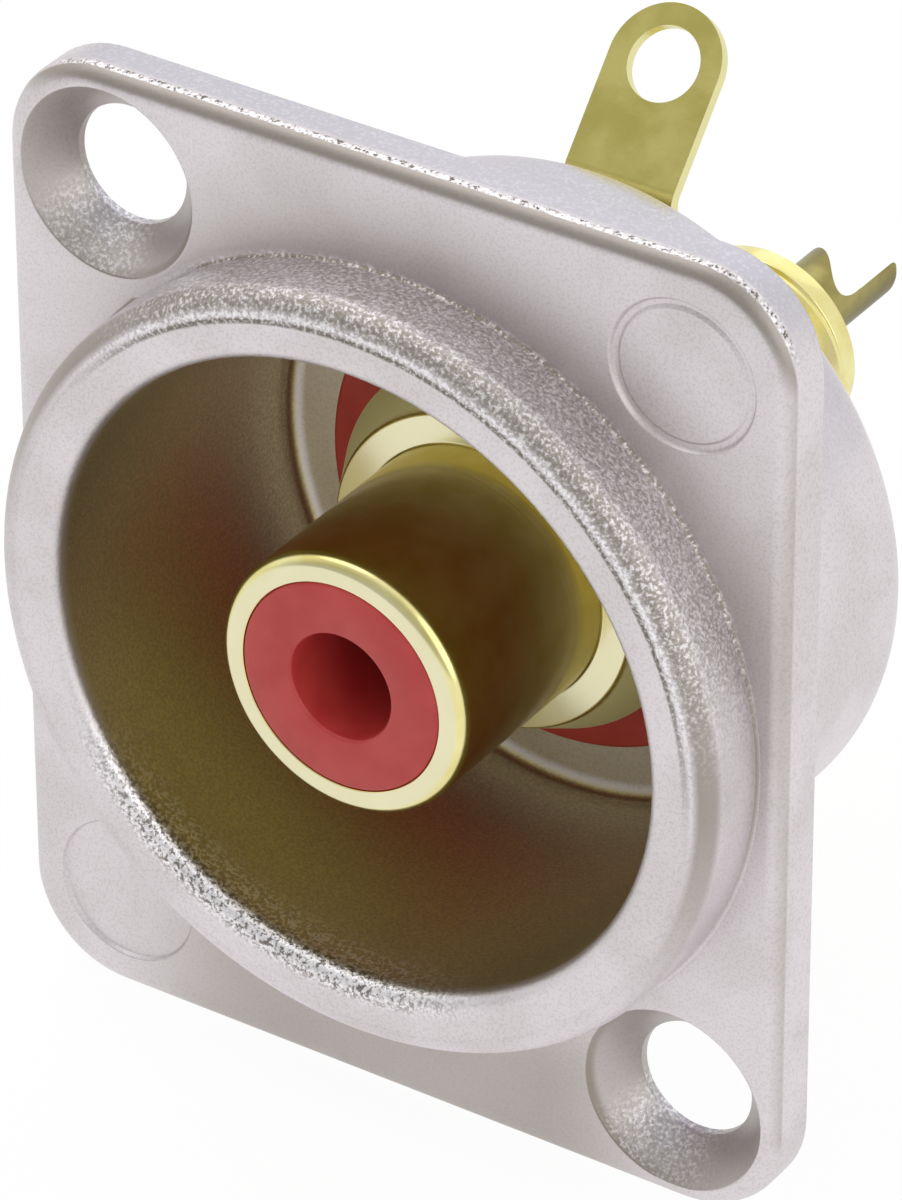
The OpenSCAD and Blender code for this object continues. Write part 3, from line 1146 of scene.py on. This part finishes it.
@dataclass
class GroundLug:
    """The stamped gold tag: a ring with a tab that is bent back and pierced."""

    front_y: float = 9.92
    sheet: float = 0.4
    ring_r: float = 5.25
    bore_r: float = 3.2
    width: float = 3.65
    bend_z: float = 9.0
    bend_r: float = 0.5
    bend: float = 41.0
    reach: float = 3.4
    hole_r: float = 1.15
    slices: int = 10

    @property
    def bend_length(self) -> float:
        """Length of the bend along the middle of the sheet."""
        return math.radians(self.bend) * (self.bend_r + self.sheet / 2)

    def flat(self) -> Solid:
        """Makes the tag as it is stamped, before its tab is bent."""
        back = self.front_y + self.sheet
        hole_z = self.bend_z + self.bend_length + self.reach
        half = self.width / 2
        tab = Solid.block((-half, self.front_y, 1.0), (half, back, hole_z))
        tip = Solid.rod(half, self.front_y, back, 96).moved(z=hole_z)
        ring = Solid.rod(self.ring_r, self.front_y, back, 128)
        made = ring.combined(tab, Join.ADD).combined(tip, Join.ADD)
        start, end = self.front_y - OVER, back + OVER
        made = made.combined(Solid.rod(self.bore_r, start, end), Join.CUT)
        return made.combined(Solid.rod(self.hole_r, start, end, 64).moved(z=hole_z), Join.CUT)

    def bent(self, flat: Solid) -> Solid:
        """Bends the tab back.

        Args:
            flat: The flat tag.

        Returns:
            The bent tag.
        """
        length = self.bend_length
        places = [self.bend_z + length * i / self.slices for i in range(self.slices + 1)]
        flat.sliced(places, (0, 0, 1))
        pivot_y = self.front_y + self.sheet + self.bend_r
        full = math.radians(self.bend)
        for vert in flat.mesh.verts:
            along = vert.co.z - self.bend_z
            if along <= 0:
                continue
            angle = min(along / length, 1.0) * full
            rest = max(along - length, 0.0)
            radius = pivot_y - vert.co.y
            vert.co.y = pivot_y - radius * math.cos(angle) + rest * math.sin(angle)
            vert.co.z = self.bend_z + radius * math.sin(angle) + rest * math.cos(angle)
        return flat

    def build(self, gold: bpy.types.Material) -> None:
        """Builds the tag and hands it over."""
        tag = self.bent(self.flat())
        ease_edges(tag.finished("gold_ground_tag", Slot.GOLD, gold, "ground_lug", 30.0), 0.06, 60.0)


@dataclass
class HexNut:
    """The gold nut that clamps the socket's pieces."""

    flats: float = 10.0
    front_y: float = 10.32
    rear_y: float = 13.52
    bore_r: float = 3.2
    bore_chamfer: float = 0.3

    def build(self, gold: bpy.types.Material) -> None:
        """Builds the nut and hands it over."""
        corner = self.flats / 2 / math.cos(math.pi / 6)
        mesh = bmesh.new()
        bmesh.ops.create_cone(
            mesh,
            cap_ends=True,
            segments=6,
            radius1=corner,
            radius2=corner,
            depth=self.rear_y - self.front_y,
        )
        hexagon = Solid(mesh).rotated(90, "X").moved(y=(self.front_y + self.rear_y) / 2)
        cone = (corner - self.flats / 2) * math.tan(math.pi / 6) + 0.17
        face_r, outer, flared_r = self.flats / 2 - 0.1, corner + 0.2, self.bore_r + self.bore_chamfer
        trim = Solid.turned(
            [
                Corner(flared_r, self.front_y),
                Corner(face_r, self.front_y),
                Corner(outer, self.front_y + cone),
                Corner(outer, self.rear_y - cone),
                Corner(face_r, self.rear_y),
                Corner(flared_r, self.rear_y),
                Corner(self.bore_r, self.rear_y - self.bore_chamfer),
                Corner(self.bore_r, self.front_y + self.bore_chamfer),
            ]
        )
        made = hexagon.combined(trim, Join.KEEP_COMMON)
        made.finished("gold_hex_nut", Slot.GOLD, gold, "hex_nut", 25.0)


# ---------------------------------------------------------------- studio


@dataclass(frozen=True)
class Lamp:
    """A soft round lamp that looks at the socket.

    Args:
        name: Its name.
        place: Where it hangs, in millimetres.
        size: Its diameter in metres.
        power: Its power in watts.
    """

    name: str
    place: tuple[float, ...]
    size: float
    power: float

    def hang(self) -> None:
        """Hangs the lamp and aims it."""
        data = bpy.data.lights.new(self.name, "AREA")
        data.shape = "DISK"
        data.size = self.size
        data.energy = self.power
        lamp = bpy.data.objects.new(self.name, data)
        lamp.location = Vector(self.place) * MM
        lamp.rotation_euler = (-Vector(self.place)).to_track_quat("-Z", "Y").to_euler()
        bpy.context.scene.collection.objects.link(lamp)


@dataclass
class Studio:
    """Camera, lamps, world and floor."""

    camera_x: tuple[float, ...] = (0.8329, 0.5534, -0.0036)
    camera_y: tuple[float, ...] = (-0.2968, 0.4522, 0.8411)
    camera_z: tuple[float, ...] = (0.4671, -0.6994, 0.5409)
    camera_at: tuple[float, ...] = (110.35, -163.91, 127.69)
    focal_px: float = 8319.75
    frame_px: float = 1200.0
    sensor: float = 36.0
    floor_z: float = -15.5
    floor_size: float = 1.6
    floor_grey: float = 0.85
    floor_white: float = 1.07
    floor_white_share: float = 0.85
    room_grey: float = 0.55
    soft_light: float = 0.55
    lamps: tuple[Lamp, ...] = (
        Lamp("overhead", (-190.0, 0.0, 400.0), 0.34, 0.3),
        Lamp("right", (380.0, -160.0, 200.0), 0.4, 0.35),
        Lamp("back", (-60.0, 400.0, 220.0), 0.4, 0.12),
    )

    def set_camera(self) -> None:
        """Puts the camera where the photograph was taken from."""
        data = bpy.data.cameras.new("photo_camera")
        data.sensor_width = self.sensor
        data.sensor_fit = "AUTO"
        data.lens = self.focal_px / self.frame_px * self.sensor
        data.clip_start = 0.01
        camera = bpy.data.objects.new("photo_camera", data)
        axes = Matrix((self.camera_x, self.camera_y, self.camera_z)).transposed()
        camera.matrix_world = Matrix.Translation(Vector(self.camera_at) * MM) @ axes.to_4x4()
        bpy.context.scene.collection.objects.link(camera)
        bpy.context.scene.camera = camera

    def set_world(self) -> None:
        """Makes the backdrop white to the eye and in reflections, and plain soft light otherwise.

        In reflections the white falls off to grey towards the front, where the sweep ends and
        the room behind the camera begins.
        """
        world = bpy.data.worlds.new("white_room")
        world.use_nodes = True
        bpy.context.scene.world = world
        desk = ShaderDesk(world.node_tree)
        towards = desk.node("ShaderNodeTexCoord").outputs["Generated"]
        parts = desk.node("ShaderNodeSeparateXYZ", sockets={0: towards})
        front = Value(desk, parts.outputs[1]).step(-0.2, -0.75)
        mirrored = Value(desk, desk.node("ShaderNodeLightPath").outputs["Is Glossy Ray"])
        strength = 1.0 - front * mirrored * (1.0 - self.room_grey)
        light = desk.node("ShaderNodeBackground", sockets={0: WHITE, 1: self.soft_light})
        white = desk.node("ShaderNodeBackground", sockets={0: WHITE, 1: strength})
        mixed = desk.node(
            "ShaderNodeMixShader",
            sockets={0: self.seen(desk), 1: light.outputs[0], 2: white.outputs[0]},
        )
        desk.node("ShaderNodeOutputWorld", sockets={0: mixed.outputs[0]})

    def set_floor(self) -> None:
        """Lays the pale floor, which keeps the socket's soft shadow."""
        mesh = bmesh.new()
        bmesh.ops.create_circle(mesh, cap_ends=True, segments=96, radius=self.floor_size / MM)
        floor = Solid(mesh).moved(z=self.floor_z)
        bmesh.ops.scale(floor.mesh, vec=(MM, MM, MM), verts=floor.mesh.verts)
        made = floor.as_object("floor")
        material, desk = new_material("pale_floor")
        grey = (self.floor_grey, self.floor_grey, self.floor_grey, 1.0)
        plain = desk.node("ShaderNodeBsdfDiffuse", sockets={0: grey})
        white = desk.node("ShaderNodeEmission", sockets={0: WHITE, 1: self.floor_white})
        share = self.seen(desk) * self.floor_white_share
        mixed = desk.node(
            "ShaderNodeMixShader", sockets={0: share, 1: plain.outputs[0], 2: white.outputs[0]}
        )
        desk.node("ShaderNodeOutputMaterial", sockets={0: mixed.outputs[0]})
        made.data.materials.append(material)

    @staticmethod
    def seen(desk: ShaderDesk) -> Value:
        """Gives 1 for camera, glossy and transmission rays, and 0 for the others."""
        path = desk.node("ShaderNodeLightPath")
        camera, glossy, through = (
            Value(desk, path.outputs[name])
            for name in ("Is Camera Ray", "Is Glossy Ray", "Is Transmission Ray")
        )
        return camera.at_least(glossy).at_least(through)

    def build(self) -> None:
        """Sets up everything that isn't part of the socket."""
        self.set_camera()
        for lamp in self.lamps:
            lamp.hang()
        self.set_world()
        self.set_floor()
        bpy.context.scene.view_settings.view_transform = "Standard"


def main() -> None:
    logging.basicConfig(level=logging.INFO, format="%(name)s: %(message)s")
    Studio().build()
    nickel = CastNickel().made()
    gold = GoldPlate().made()
    sheet_gold = GoldPlate(
        name="stamped_gold_plate",
        bright=rgb(206, 197, 120),
        deep=rgb(190, 180, 102),
        pale=rgb(232, 226, 170),
        rough=0.3,
        turned=False,
    ).made()
    dull_gold = GoldPlate(
        name="dull_gold_plate",
        bright=rgb(186, 176, 114),
        deep=rgb(150, 140, 84),
        pale=rgb(196, 186, 130),
        rough=0.36,
        darkening=0.6,
    ).made()
    red = MouldedPlastic("red_moulding", rgb(196, 62, 60), rgb(206, 74, 70)).made()
    white = MouldedPlastic("white_moulding", rgb(232, 230, 222), rgb(240, 238, 232), rough=0.5).made()
    Housing().build(nickel)
    Insulators().build(red, white)
    OuterContact().build(gold)
    CentreContact().build(dull_gold)
    GroundLug().build(sheet_gold)
    HexNut().build(gold)
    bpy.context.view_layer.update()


if __name__ == "__main__":
    main()
